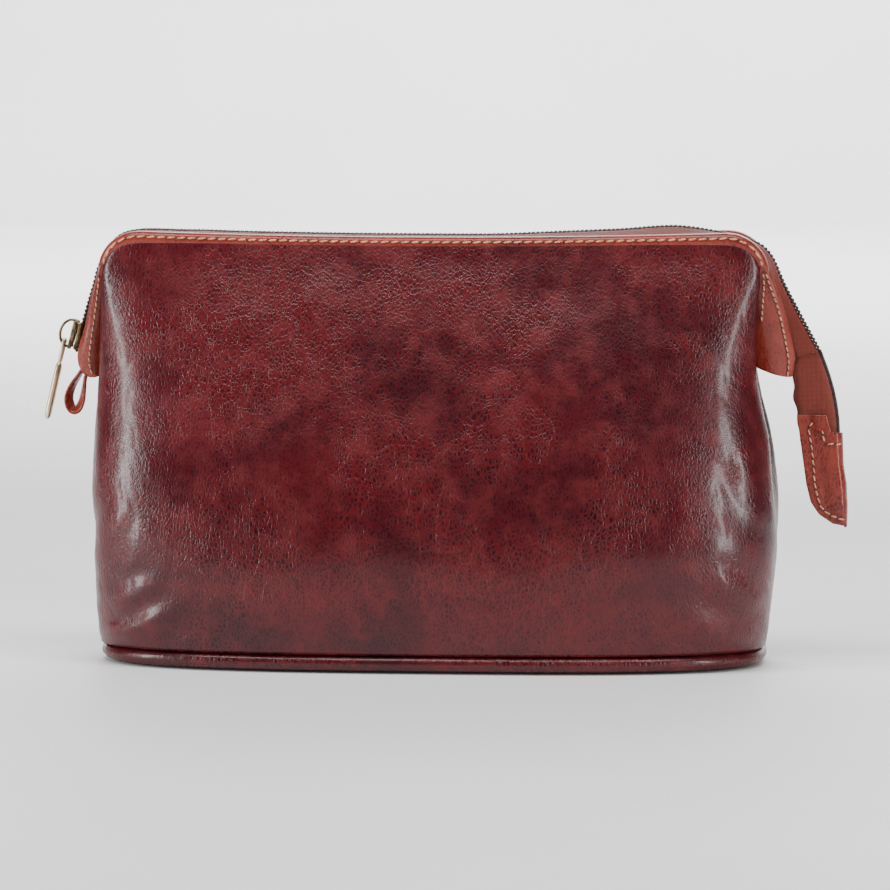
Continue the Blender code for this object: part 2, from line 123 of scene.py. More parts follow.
# Zip: matched (x, z) places of its teeth and of its sewn edge, up the left arm and down the right.
ZIP_LEFT_TEETH = [(-143.2, 121.0), (-138.9, 136.0), (-135.6, 147.0), (-132.2, 157.0)]
ZIP_LEFT_SEWN = [(-140.6, 125.2), (-135.0, 135.0), (-132.6, 145.5), (-130.8, 155.5)]
ZIP_RIGHT_TEETH = [(132.0, 161.0), (138.4, 148.0), (145.6, 134.5), (152.2, 122.4)]
ZIP_RIGHT_SEWN = [(131.2, 156.0), (134.2, 142.5), (139.2, 130.5), (142.4, 120.2)]
ZIP_TOP = 169.6
# What is added to the teeth's height at some of the top's places, counted from the middle.
ZIP_HUMP = {2: 0.8, 3: 1.5, 4: 2.2, 5: -1.6}
ZIP_STEP = 23.8
ZIP_END_DROP = 1.6
ZIP_SPANS = 5
TEETH_Y = 1.15
TEETH_SPREAD = 1.03
TAPE_INNER_Y = 11.2
TAPE_INNER_DROP = 1.3
TAPE_CLEARANCE = 4.8
TAPE_TUCK = 2.2
TAPE_TUCK_LOW = 136.0
TAPE_TUCK_HIGH = 146.0
TAPE_CLOTH = 0.6
TAPE_CROWN = 0.25
TAPE_SHORT = 0.45
TAIL_TEETH = [(152.2, 122.6), (155.7, 113.0), (158.0, 104.4), (159.3, 96.0), (159.7, 87.5)]
TAIL_SEWN = [(142.4, 122.0), (141.9, 112.0), (142.2, 104.0), (143.7, 96.0), (144.6, 87.0)]
TAIL_TAPE_Y = 0.45
TAIL_WAVE = 0.35
TAIL_WAVE_RATE = 0.55
COIL_LOOP = 0.56
COIL_WIRE = 0.42
COIL_PITCH = 1.75

# End tab: (x, z) places of its stitched left edge, its folded right edge and its seams. Above
# TAB_CUT_TOP its right side is cut back to TAB_CUT_X.
TAB_TOP = 97.4
TAB_CUT_TOP = 90.7
TAB_CUT_X = 155.0
TAB_CUT_SLANT = 0.3
TAB_LEFT = [(143.4, 97.4), (145.6, 82.0), (147.3, 70.0), (149.1, 63.0), (152.2, 58.2),
            (157.8, 54.4), (163.2, 53.4)]
TAB_RIGHT = [(161.5, 90.4), (162.0, 77.5), (163.2, 70.2), (163.7, 61.0), (163.5, 53.4)]
TAB_SEAMS = [
    [(148.0, 92.0), (149.3, 84.6), (150.1, 77.3), (150.8, 69.4), (153.1, 61.4), (156.3, 58.3),
     (160.0, 56.7), (162.6, 55.9)],
    [(148.2, 92.8), (150.2, 94.4), (152.4, 94.2)],
    [(153.2, 92.6), (154.3, 86.6)],
    [(155.2, 86.2), (161.0, 86.0)],
]
TAB_LEATHER = 1.2
TAB_GRID = (24, 88)
TAB_FLAT = 1.5
TAB_FOLD = 1.5
TAB_LEAST = 0.15
TAB_SEAM_LIFT = 0.125

# Slider at the left end of the zip, and its puller.
SLIDER_CENTRE = Vector((-142.9, 0.0, 127.5))
SLIDER_LEAN = math.radians(15.5)
SLIDER_LENGTH = 12.5
PULLER_LEAN = math.radians(13.0)
PULLER_LENGTH = 33.0
PULLER_BAR = 24.0

# Stitches: pitch and half width of each kind of seam, and the half sizes of the dark dot of painted
# shade at a needle hole.
CASING_STITCH = (4.0, 0.4)
EAR_STITCH = (2.6, 0.32)
TAB_STITCH = (3.0, 0.34)
STITCH_SLANT = 0.16
STITCH_SHARE = 0.42
STITCH_LIFT = 0.22
NEEDLE_HOLE_SHADE_SIZE = (0.42, 0.36, 0.12)


# ---------------------------------------------------------------- materials

# Where a Mix node keeps its colour sockets.
MIX_FACTOR = 0
MIX_FIRST = 6
MIX_SECOND = 7
MIX_RESULT = 2


class Nodes:
    """A short way to write a material's node tree."""

    def __init__(self, name):
        self.material = bpy.data.materials.new(name)
        self.material.use_nodes = True
        self.tree = self.material.node_tree
        self.shader = self.tree.nodes["Principled BSDF"]
        self.place = self.add("ShaderNodeTexCoord").outputs["Object"]

    def add(self, kind, **inputs):
        node = self.tree.nodes.new(kind)
        for name, value in inputs.items():
            self.feed(node.inputs[name.replace("_", " ")], value)
        return node

    def feed(self, socket, value):
        if isinstance(value, bpy.types.NodeSocket):
            self.tree.links.new(value, socket)
        else:
            socket.default_value = value

    def stretch(self, scale):
        """Object coordinates, in metres, scaled per axis."""
        return self.add("ShaderNodeMapping", Vector=self.place, Scale=scale).outputs[0]

    def noise(self, vector, scale, detail=2.0, rough=0.5):
        """A noise with about scale features per metre."""
        node = self.add("ShaderNodeTexNoise", Vector=vector, Scale=scale, Detail=detail,
                        Roughness=rough)
        return node.outputs["Fac"]

    def cells(self, vector, scale):
        """Distance to the nearest edge between cells, scale of them to a metre."""
        node = self.add("ShaderNodeTexVoronoi", Vector=vector, Scale=scale)
        node.feature = "DISTANCE_TO_EDGE"
        return node.outputs["Distance"]

    def warp(self, vector, by, amount):
        """A vector pushed up to half amount, in metres, by a noise, so that cell edges wander."""
        colour = self.add("ShaderNodeTexNoise", Vector=vector, Scale=by, Detail=3.0).outputs["Color"]
        centred = self.add("ShaderNodeVectorMath")
        centred.operation = "SUBTRACT"
        self.feed(centred.inputs[0], colour)
        centred.inputs[1].default_value = (0.5, 0.5, 0.5)
        moved = self.add("ShaderNodeVectorMath")
        moved.operation = "MULTIPLY_ADD"
        self.feed(moved.inputs[0], centred.outputs[0])
        moved.inputs[1].default_value = (amount, amount, amount)
        self.feed(moved.inputs[2], vector)
        return moved.outputs[0]

    def ramp(self, factor, low, high, start=0.0, end=1.0):
        """Map factor from low..high to start..end."""
        node = self.add("ShaderNodeMapRange", Value=factor)
        node.inputs["From Min"].default_value = low
        node.inputs["From Max"].default_value = high
        node.inputs["To Min"].default_value = start
        node.inputs["To Max"].default_value = end
        node.interpolation_type = "SMOOTHSTEP"
        return node.outputs[0]

    def math(self, operation, first, second):
        node = self.tree.nodes.new("ShaderNodeMath")
        node.operation = operation
        self.feed(node.inputs[0], first)
        self.feed(node.inputs[1], second)
        return node.outputs[0]

    def mix(self, factor, first, second):
        """Colours first to second by factor, each an (r, g, b) or a socket."""
        node = self.tree.nodes.new("ShaderNodeMix")
        node.data_type = "RGBA"
        self.feed(node.inputs[MIX_FACTOR], factor)
        for place, colour in ((MIX_FIRST, first), (MIX_SECOND, second)):
            self.feed(node.inputs[place], (*colour, 1.0) if isinstance(colour, tuple) else colour)
        return node.outputs[MIX_RESULT]

    def bump(self, height, depth, before=None):
        """Bump whose height 0..1 stands for depth in millimetres."""
        node = self.add("ShaderNodeBump", Height=height)
        node.inputs["Distance"].default_value = depth * MM
        if before is not None:
            self.feed(node.inputs["Normal"], before)
        return node.outputs[0]

    def finish(self, colour, roughness, normal=None, **fixed):
        self.feed(self.shader.inputs["Base Color"], colour)
        self.feed(self.shader.inputs["Roughness"], roughness)
        if normal is not None:
            self.feed(self.shader.inputs["Normal"], normal)
        for name, value in fixed.items():
            self.shader.inputs[name.replace("_", " ")].default_value = value
        return self.material


CLOTH_ROUGHNESS = 0.8
THREAD_ROUGHNESS = 0.55
FLOOR_ROUGHNESS = 0.6


def leather(name, dark, middle, light, grain_depth=0.1, gloss=0.27):
    """Glazed leather: pale grain ridges round dark pits, and wandering veins.

    gloss is the least roughness, so a lower one shines more."""
    n = Nodes(name)
    # Cell edges: a fine upright grain, and longer veins that wander.
    tall_cells = n.warp(n.stretch((1.0, 1.0, 0.6)), by=130.0, amount=0.0035)
    grain = n.ramp(n.cells(tall_cells, scale=760.0), 0.0, 0.3, start=1.0, end=0.0)
    wander = n.warp(n.stretch((1.0, 1.0, 0.5)), by=60.0, amount=0.016)
    veins = n.ramp(n.cells(wander, scale=120.0), 0.0, 0.07, start=1.0, end=0.0)
    # Both are stronger in patches.
    patchy = n.noise(n.place, scale=24.0, detail=3.0, rough=0.6)
    patches = n.ramp(patchy, 0.38, 0.62, start=0.2)
    pores = n.noise(n.place, scale=1900.0)
    # Colour: large clouds from dark to middle, a finer mottle, then the ridges, paler.
    cloud = n.noise(n.stretch((1.0, 1.0, 1.4)), scale=17.0, detail=4.0, rough=0.6)
    mottle = n.noise(n.place, scale=85.0, detail=4.0, rough=0.65)
    base = n.mix(n.ramp(cloud, 0.34, 0.66), dark, middle)
    base = n.mix(n.ramp(mottle, 0.44, 0.74, end=0.55), base, light)
    grain_seen = n.math("MULTIPLY", grain, n.ramp(patches, 0.0, 1.0, start=0.25, end=0.6))
    base = n.mix(grain_seen, base, light)
    base = n.mix(n.math("MULTIPLY", n.math("MULTIPLY", veins, patches), 0.4), base, light)
    # Relief, coarse to fine.
    grain_felt = n.math("MULTIPLY", grain, n.ramp(patches, 0.0, 1.0, start=0.4))
    bump = n.bump(grain_felt, depth=grain_depth)
    bump = n.bump(n.math("MULTIPLY", veins, patches), depth=grain_depth * 0.7, before=bump)
    bump = n.bump(pores, depth=0.015, before=bump)
    rough = n.ramp(mottle, 0.3, 0.7, start=gloss, end=gloss + 0.14)
    return n.finish(base, rough, bump, Coat_Weight=0.22, Coat_Roughness=0.18,
                    Specular_IOR_Level=0.3)


def cut_edge_leather(name):
    return leather(name, (0.045, 0.009, 0.007), (0.09, 0.02, 0.013), (0.15, 0.04, 0.02), 0.06, 0.5)


def woven(name, warm, shade, pitch, depth=0.15):
    """A plain weave; pitch is the thread spacing in millimetres."""
    n = Nodes(name)
    turns = math.pi / (pitch * MM)
    split = n.add("ShaderNodeSeparateXYZ", Vector=n.place)
    threads = []
    for axis in ("X", "Z"):
        wave = n.math("SINE", n.math("MULTIPLY", split.outputs[axis], turns), 0.0)
        threads.append(n.math("ABSOLUTE", wave, 0.0))
    weave = n.math("MULTIPLY", threads[0], threads[1])
    fuzz = n.noise(n.place, scale=900.0, detail=3.0)
    colour = n.mix(n.math("MULTIPLY", weave, fuzz), shade, warm)
    bump = n.bump(n.math("ADD", weave, n.math("MULTIPLY", fuzz, 0.5)), depth)
    return n.finish(colour, CLOTH_ROUGHNESS, bump, Sheen_Weight=0.25, Sheen_Roughness=0.4)


def nylon(name, dark, light):
    n = Nodes(name)
    streak = n.noise(n.place, scale=700.0, detail=3.0)
    colour = n.mix(n.ramp(streak, 0.35, 0.7), dark, light)
    rough = n.ramp(streak, 0.3, 0.7, start=0.32, end=0.5)
    return n.finish(colour, rough, n.bump(streak, depth=0.03))


def metal(name, dark, light, polish, wear_scale=180.0):
    """Plated metal: darker in its mottled patina, brushed finely."""
    n = Nodes(name)
    patina = n.noise(n.place, wear_scale, detail=5.0, rough=0.65)
    brushed = n.noise(n.stretch((1.0, 1.0, 0.08)), scale=2600.0)
    colour = n.mix(n.ramp(patina, 0.36, 0.64), dark, light)
    rough = n.ramp(patina, 0.3, 0.7, start=polish + 0.16, end=polish)
    return n.finish(colour, rough, n.bump(brushed, depth=0.012), Metallic=1.0)


def thread(name):
    n = Nodes(name)
    ply = n.noise(n.place, scale=1500.0, rough=0.6)
    colour = n.mix(n.ramp(ply, 0.35, 0.65), (0.42, 0.13, 0.055), (0.85, 0.4, 0.2))
    return n.finish(colour, THREAD_ROUGHNESS, n.bump(ply, depth=0.08), Sheen_Weight=0.3)


def pale_floor(name):
    n = Nodes(name)
    tone = n.noise(n.place, scale=3.0, detail=3.0)
    colour = n.mix(n.ramp(tone, 0.3, 0.7), (0.88, 0.88, 0.88), (0.92, 0.92, 0.92))
    return n.finish(colour, FLOOR_ROUGHNESS)


BODY_LEATHER = leather("body_leather", (0.018, 0.0008, 0.0038), (0.048, 0.0017, 0.0055),
                       (0.125, 0.0085, 0.0105))
TRIM_LEATHER = leather("trim_leather", (0.1, 0.009, 0.008), (0.19, 0.019, 0.012),
                       (0.31, 0.046, 0.026), 0.05, 0.24)
EDGE_LEATHER = cut_edge_leather("edge_leather")
TAPE = woven("zip_tape", (0.3, 0.05, 0.024), (0.14, 0.015, 0.008), 0.5)
LINING = woven("lining_cloth", (0.075, 0.05, 0.045), (0.02, 0.013, 0.012), 0.4)
BOARD = woven("stiffener_board", (0.35, 0.27, 0.18), (0.25, 0.19, 0.12), 1.2, 0.05)
COIL = nylon("zip_coil", (0.014, 0.004, 0.004), (0.05, 0.014, 0.012))
STEEL = metal("frame_steel", (0.35, 0.35, 0.36), (0.62, 0.62, 0.63), 0.3)
DARK_BRASS = metal("slider_brass", (0.09, 0.06, 0.035), (0.34, 0.23, 0.12), 0.24)
PALE_BRASS = metal("puller_brass", (0.66, 0.53, 0.32), (0.9, 0.79, 0.58), 0.22, 40.0)
THREAD = thread("stitch_thread")
# Painted shade: a near-black colour for the dots at the needle holes, which look dark only from
# shade.
NEEDLE_HOLE_SHADE = nylon("needle_hole_shade", (0.012, 0.002, 0.002), (0.03, 0.005, 0.004))
FLOOR = pale_floor("pale_floor")


# ---------------------------------------------------------------- mesh helpers

def new_piece(name, mesh, *materials):
    obj = bpy.data.objects.new(name, mesh)
    bpy.context.scene.collection.objects.link(obj)
    for material in materials:
        mesh.materials.append(material)
    mesh.shade_smooth()
    return obj


def mesh_of(name, shape):
    """The finished mesh of a bmesh, which is freed."""
    mesh = bpy.data.meshes.new(name)
    shape.to_mesh(mesh)
    shape.free()
    return mesh


def grid(name, point, columns, rows, material):
    """A grid surface point(u, v), with u and v running from 0 to 1."""
    shape = bmesh.new()
    wide = columns + 1
    for j in range(rows + 1):
        for i in range(wide):
            shape.verts.new(Vector(point(i / columns, j / rows)) * MM)
    shape.verts.ensure_lookup_table()
    for j in range(rows):
        for i in range(columns):
            low, high = j * wide + i, (j + 1) * wide + i
            shape.faces.new([shape.verts[k] for k in (low, low + 1, high + 1, high)])
    return new_piece(name, mesh_of(name, shape), material)


def thicken(obj, thickness, offset=-1.0, edge=None):
    """Give a sheet its thickness; edge is the material of its cut rim."""
    solidify = obj.modifiers.new("thickness", "SOLIDIFY")
    solidify.thickness = thickness * MM
    solidify.offset = offset
    if edge is not None:
        obj.data.materials.append(edge)
        solidify.material_offset_rim = 1
    return obj


def frames_along(points, closed=False, up=Vector((0, 1, 0))):
    """Each point with the path's direction and two directions square to it."""
    last = len(points) - 1
    result = []
    for k, point in enumerate(points):
        before = points[k - 1] if k > 0 or closed else points[0]
        after = points[(k + 1) % (last + 1)] if k < last or closed else points[last]
        along = (after - before).normalized()
        side = up.cross(along).normalized()
        result.append((point, along, side, along.cross(side)))
    return result


def tube(name, points, section, material, closed=False, up=Vector((0, 1, 0)), sides=12):
    """Sweep section(share, angle) -> (side, rise) along points, in millimetres."""
    places = frames_along(points, closed, up)
    count = len(places)
    shape = bmesh.new()
    for k, (point, _, side, rise) in enumerate(places):
        for s in range(sides):
            a, b = section(k / max(count - 1, 1), 2 * math.pi * s / sides)
            shape.verts.new((point + side * a + rise * b) * MM)
    shape.verts.ensure_lookup_table()
    for k in range(count if closed else count - 1):
        here, there = k * sides, (k + 1) % count * sides
        for s in range(sides):
            t = (s + 1) % sides
            shape.faces.new([shape.verts[i] for i in (here + s, here + t, there + t, there + s)])
    if not closed:
        shape.faces.new([shape.verts[s] for s in reversed(range(sides))])
        shape.faces.new([shape.verts[(count - 1) * sides + s] for s in range(sides)])
    bmesh.ops.recalc_face_normals(shape, faces=shape.faces)
    return new_piece(name, mesh_of(name, shape), material)


def round_section(radius):
    return lambda share, angle: (radius * math.cos(angle), radius * math.sin(angle))


def squared(value, power):
    """A power of a sine or cosine that keeps its sign; below 1 it squares an oval's sides off."""
    return math.copysign(abs(value) ** power, value)


def oval_section(half_side, half_rise, power=2.0):
    """An oval that is an ellipse at power 2 and boxier above it."""
    def section(share, angle):
        return (squared(math.cos(angle), 2 / power) * half_side,
                squared(math.sin(angle), 2 / power) * half_rise)
    return section


def matched_curve(points, steps=10):
    """A smooth curve with the same number of steps between each pair of points."""
    last = len(points) - 1
    result = []
    for k in range(last):
        before, here = points[max(k - 1, 0)], points[k]
        there, after = points[k + 1], points[min(k + 2, last)]
        for step in range(steps):
            t = step / steps
            result.append(0.5 * (2 * here + (there - before) * t
                                 + (2 * before - 5 * here + 4 * there - after) * t**2
                                 + (3 * here - before - 3 * there + after) * t**3))
    result.append(points[-1])
    return result


def curve_through(points, count):
    """Points evenly spaced along a smooth curve through the given ones."""
    return spaced(matched_curve(points, 24), count)


def spaced(points, count):
    """The same line with count points at equal steps."""
    lengths = [0.0]
    for before, after in zip(points, points[1:]):
        lengths.append(lengths[-1] + (after - before).length)
    result = []
    k = 0
    for step in range(count):
        target = lengths[-1] * step / (count - 1)
        while k < len(points) - 2 and lengths[k + 1] < target:
            k += 1
        share = (target - lengths[k]) / max(lengths[k + 1] - lengths[k], 1e-9)
        result.append(points[k].lerp(points[k + 1], min(share, 1.0)))
    return result


def line_length(points):
    return sum((after - before).length for before, after in zip(points, points[1:]))


def upright(places, y=0.0):
    """(x, z) places as points of a plane across the bag."""
    return [Vector((x, y, z)) for x, z in places]


def blob(shape, place, along, across, out, sizes, material_index):
    """Add one flattened ball to a mesh, its three half sizes along three directions."""
    columns = (along * sizes[0], across * sizes[1], out * sizes[2])
    matrix = Matrix(columns).transposed().to_4x4()
    matrix.translation = place
    made = bmesh.ops.create_icosphere(shape, subdivisions=2, radius=1.0, matrix=matrix)
    for face in {face for vert in made["verts"] for face in vert.link_faces}:
        face.material_index = material_index
        face.smooth = True


def stitches(name, points, outward, body, kind, carry=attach):
    """A row of slanted thread stitches on a surface, with a dark dot of painted shade at each needle
    hole between them.
    """
    pitch, width = kind
    count = max(round(line_length(points) / pitch), 1)
    marks = spaced(points, 2 * count + 1)
    out = outward.normalized()
    shape = bmesh.new()
    for k in range(count):
        start, middle, end = marks[2 * k], marks[2 * k + 1], marks[2 * k + 2]
        along = (end - start).normalized()
        side = out.cross(along).normalized()
        slanted = (along + side * STITCH_SLANT).normalized()
        across = out.cross(slanted).normalized()
        half = (end - start).length * STITCH_SHARE
        place = middle + out * STITCH_LIFT
        blob(shape, place, slanted, across, out, (half, width, width * 1.1), 0)
        # A dark dot at each needle hole: painted shade.
        blob(shape, start, along, side, out, NEEDLE_HOLE_SHADE_SIZE, 1)
    bmesh.ops.scale(shape, vec=(MM, MM, MM), verts=shape.verts)
    bmesh.ops.recalc_face_normals(shape, faces=shape.faces)
    obj = new_piece(name, mesh_of(name, shape), THREAD, NEEDLE_HOLE_SHADE)
    carry(obj, body)


def ease(value, low, high):
    """0 below low, 1 above high, smooth between."""
    t = min(max((value - low) / (high - low), 0.0), 1.0)
    return t * t * (3 - 2 * t)


# ---------------------------------------------------------------- the bag's forms

def shell_sizes(height):
    """Left and right half widths, half depth and plan roundness at a height."""
    stations = SHELL_STATIONS
    last = len(stations) - 1
    k = 0
    while k < last - 1 and height > stations[k + 1][0]:
        k += 1
    here, there = stations[k], stations[k + 1]
    before, after = stations[max(k - 1, 0)], stations[min(k + 2, last)]
    step = there[0] - here[0]
    t = (height - here[0]) / step
    sizes = []
    for axis in (1, 2, 3, 4):
        slope_in = (there[axis] - before[axis]) / (there[0] - before[0]) * step
        slope_out = (after[axis] - here[axis]) / (after[0] - here[0]) * step
        sizes.append((2 * t**3 - 3 * t**2 + 1) * here[axis] + (t**3 - 2 * t**2 + t) * slope_in
                     + (3 * t**2 - 2 * t**3) * there[axis] + (t**3 - t**2) * slope_out)
    return sizes


def edge_depth(height):
    """How far in front of the middle plane a panel's side edge lies."""
    rise = max(height - PIN_HEIGHT, 0.0)
    gap = SIDE_GAP * ease(height, PIN_HEIGHT - 8.0, PIN_HEIGHT + 6.0)
    return rise * math.tan(BAR_TILT) + gap


# Pleats near both ends: start and end as (x, z), half width, height.
PLEATS = [
    ((-127.0, 8.0), (-98.0, 23.0), 4.5, 1.5),
    ((-122.0, 24.0), (-104.0, 33.0), 4.0, 0.8),
    ((-131.0, 40.0), (-120.0, 62.0), 4.0, 0.7),
    ((126.0, 9.0), (101.0, 21.0), 4.5, 1.2),
    ((128.0, 26.0), (112.0, 37.0), 4.0, 0.8),
    ((130.0, 58.0), (124.0, 84.0), 4.5, 0.8),
]
# Where along its length a pleat swells and fades.
PLEAT_START = (-0.25, 0.2)
PLEAT_END = (0.7, 1.3)
# A pleat's valley: its place and width in half widths of the pleat, and its share of the height.
VALLEY_PLACE = 1.9
VALLEY_WIDTH = 0.8
VALLEY_SHARE = 0.5


def pleats(x, height):
    """Slanting ridges with a shallow valley on either side of each."""
    total = 0.0
    for start, end, half_width, rise in PLEATS:
        ax, az = start
        dx, dz = end[0] - ax, end[1] - az
        length = math.hypot(dx, dz)
        along = ((x - ax) * dx + (height - az) * dz) / length**2
        away = abs((x - ax) * dz - (height - az) * dx) / length / half_width
        fade = ease(along, *PLEAT_START) * (1.0 - ease(along, *PLEAT_END))
        valley = math.exp(-((away - VALLEY_PLACE) / VALLEY_WIDTH) ** 2)
        total += rise * fade * (math.exp(-away**2) - VALLEY_SHARE * valley)
    return total


# Waves of the hide, as features per millimetre and height, and its creases.
BROAD_WAVE = (0.017, 1.2)
MIDDLE_WAVE = (0.045, 0.45)
CREASE_EVERYWHERE = 0.06
CREASE_MORE = 0.16
CREASE_DEPTH = 0.6
NEAR_END = (88.0, 120.0)
NEAR_BASE = (20.0, 60.0)


def folds(x, y, height):
    """Soft unevenness of the hide in millimetres: broad waves, pleats and finer creases."""
    place = Vector((x, y, height))
    broad = noise.noise(place * BROAD_WAVE[0]) * BROAD_WAVE[1]
    middle = noise.noise(place * MIDDLE_WAVE[0] + Vector((7, 3, 1))) * MIDDLE_WAVE[1]
    near_end = ease(abs(x), *NEAR_END)
    low = 1.0 - ease(height, *NEAR_BASE)
    slanted = Vector((x * 0.16 + height * 0.06, y * 0.05, height * 0.09 - x * 0.03))
    ridges = 1.0 - abs(noise.noise(slanted))
    amount = CREASE_EVERYWHERE + CREASE_MORE * near_end + CREASE_MORE * low
    return broad + middle + pleats(x, height) - amount * ridges**7 * CREASE_DEPTH


def shell_point(across, height, inset=0.0, mirrored=False):
    """A point of the front half of the shell; across runs from -1 to 1."""
    left, right, half_depth, roundness = shell_sizes(height)
    half_width = right if (across > 0) != mirrored else left
    round_start = PANEL_TOP - CORNER_RADIUS
    if height > round_start:
        drop = min(height - round_start, CORNER_RADIUS)
        half_width += math.sqrt(CORNER_RADIUS**2 - drop**2) - CORNER_RADIUS
    else:
        tucked = ease(height, *SIDE_TUCK_FROM) * (1.0 - ease(height, *SIDE_TUCK_TO))
        half_width -= SIDE_TUCK * tucked * ease(abs(across), 0.9, 1.0)
    angle = across * math.pi / 2
    side = math.copysign(abs(math.sin(angle)) ** (2 / roundness), across)
    bulge = max(math.cos(angle), 0.0) ** (2 / roundness)
    x = (half_width - inset) * side
    edge = edge_depth(height)
    y = edge + (half_depth - inset - edge) * bulge
    sag = BAR_SAG * ease(height, SAG_FROM, PANEL_TOP) * (1 - min(abs(x) / CORNER_X, 1.0) ** 2)
    fade = ease(height, *FOLDS_START) * (1.0 - ease(height, *FOLDS_END))
    fade *= 1.0 - ease(abs(across), *FOLDS_SIDE)
    out = Vector((side**3, -bulge, 0.0)).normalized()
    return Vector((x, -y, height - sag)) + out * (folds(x, y, height) * fade)


def turned(point):
    """The same place on the rear half."""
    return Vector((-point.x, -point.y, point.z))


def jaw_point(x, rise, stand_off=0.0):
    """A point of the front mouth frame's tilted plane; rise runs up it from the hinge pins."""
    y = -rise * math.sin(BAR_TILT) - stand_off * math.cos(BAR_TILT)
    z = PIN_HEIGHT + rise * math.cos(BAR_TILT) - stand_off * math.sin(BAR_TILT)
    return Vector((x, y, z))


def frame_outline(end_rise, count):
    """The U of a mouth frame as evenly spaced (x, rise) pairs, left arm to right arm."""
    straight = CORNER_X - CORNER_RADIUS
    right = []
    for k in range(0, 13):
        angle = math.pi / 2 * k / 12
        right.append(Vector((straight + CORNER_RADIUS * math.sin(angle),
                             BAR_REACH - CORNER_RADIUS * (1 - math.cos(angle)))))
    corner_rise = BAR_REACH - CORNER_RADIUS
    drop = corner_rise - end_rise
    right.append(Vector((CORNER_X + (EYE_X - CORNER_X) * drop / (corner_rise - ARM_END), end_rise)))
    bar = []
    for k in range(-15, 16):
        x = straight * k / 16
        bar.append(Vector((x, BAR_REACH - BAR_SAG * (1 - (x / straight) ** 2))))
    left = [Vector((-p.x, p.y)) for p in reversed(right)]
    return spaced(left + bar + right, count)


def panel_height(v):
    """Heights of the panel's rows: even up to the corner's round, then along its arc."""
    start = PANEL_TOP - CORNER_RADIUS
    if v < EVEN_ROWS:
        return PANEL_BOTTOM + (start - PANEL_BOTTOM) * v / EVEN_ROWS
    return start + CORNER_RADIUS * math.sin((v - EVEN_ROWS) / (1 - EVEN_ROWS) * math.pi / 2)


def build_shell(side, place, mirrored):
    """One half of the leather body and its lining."""
    def hide(u, v):
        return place(shell_point(2 * u - 1, panel_height(v), mirrored=mirrored))

    def cloth(u, v):
        height = PANEL_BOTTOM + (LINING_TOP - PANEL_BOTTOM) * v
        across = (2 * u - 1) * LINING_REACH
        return place(shell_point(across, height, LINING_INSET, mirrored=mirrored))

    panel = thicken(grid(side + "_leather", hide, *PANEL_GRID, BODY_LEATHER), LEATHER,
                    edge=EDGE_LEATHER)
    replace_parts(panel, side + "_panel_lower", side + "_panel_upper")
    lining = thicken(grid(side + "_lining", cloth, *LINING_GRID, LINING), LINING_CLOTH)
    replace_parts(lining, side + "_lining_lower", side + "_lining_upper")
    for obj in (panel, lining):
        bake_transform(obj)


def build_casing(side, place):
    """The folded leather the frame runs in, with its row of stitches."""
    outline = frame_outline(CASING_END, 220)
    points = [place(jaw_point(p.x, p.y)) for p in outline]
    section = oval_section(CASING_RADIUS, CASING_RADIUS, CASING_POWER)
    casing = tube(side + "_casing_leather", points, section, TRIM_LEATHER,
                  up=place(Vector((0, 1, 0))), sides=20)
    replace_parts(casing, side + "_casing")
    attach(casing, side + "_jaw")
    row = []
    for p in frame_outline(CASING_SEAM_END, 160):
        row.append(place(jaw_point(p.x * CASING_SEAM_SPREAD, p.y + CASING_SEAM_RISE,
                                   CASING_SEAM_STAND_OFF)))
    out = place(Vector((0, -0.8, 0.6)))
    stitches(side + "_casing_stitches", row, out, side + "_jaw", CASING_STITCH)


def world_side(side, mirrored):
    """Which end of the bag a front-half side (-1 left, 1 right) lands on."""
    return -side if mirrored else side


# Ears in the mouth frame's plane: (x, rise) along the outer edge, the inner edge and the seams.
RIGHT_EAR = {
    "outer": [(130.9, 41.5), (133.0, 37.5), (136.0, 31.0), (139.6, 20.0), (142.2, 9.0),
              (142.9, 3.0), (142.0, -5.0)],
    "inner": [(129.2, 41.5), (128.2, 37.5), (127.2, 30.0), (126.6, 20.0), (126.2, 11.0),
              (126.4, 5.0), (127.0, -0.5)],
    "seams": [[(130.2, 38.5), (130.4, 33.0), (130.0, 27.0), (129.5, 19.0)],
              [(131.2, 38.5), (133.0, 33.0), (136.2, 23.5), (139.1, 10.0), (140.1, 2.0),
               (139.7, -3.6)]],
}
LEFT_EAR = {
    "outer": [(131.0, 41.0), (132.4, 37.0), (135.6, 27.0), (138.6, 15.0), (141.6, 6.0),
              (142.2, 0.0), (140.4, -5.0), (137.6, -6.4)],
    "inner": [(129.6, 41.0), (129.9, 37.0), (130.2, 28.0), (130.4, 18.0), (130.6, 9.0),
              (130.8, 2.0), (131.0, -4.5)],
    "seams": [[(131.6, 36.0), (133.0, 25.0), (135.2, 12.0), (136.6, 2.0), (135.6, -4.0)]],
}
EAR_ROWS = 36
EAR_LEATHER = 1.4
EAR_STAND_OFF = 5.0
EAR_BULGE = 2.4
EAR_TOP_TUCK = 1.6
EAR_ROLL = 1.2
EAR_SEAM_LIFT = 0.25


def bend_ear(obj, jaw):
    """Bake an ear's placement into its mesh; jaw is not used."""
    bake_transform(obj)


def ear_line(places, count):
    """A smooth line through (x, rise) places."""
    return curve_through([Vector((x, rise, 0)) for x, rise in places], count)


def ear_height(u, v):
    """How far an ear stands off its plane: u from inner to outer edge, v from top to bottom."""
    bulge = EAR_BULGE * math.sin(math.pi * u) * ease(v, 0.15, 0.8)
    tucked = EAR_TOP_TUCK * (1.0 - ease(v, 0.0, 0.3))
    rolled = EAR_ROLL * ease(u, 0.82, 1.0)
    return EAR_STAND_OFF + bulge - tucked - rolled


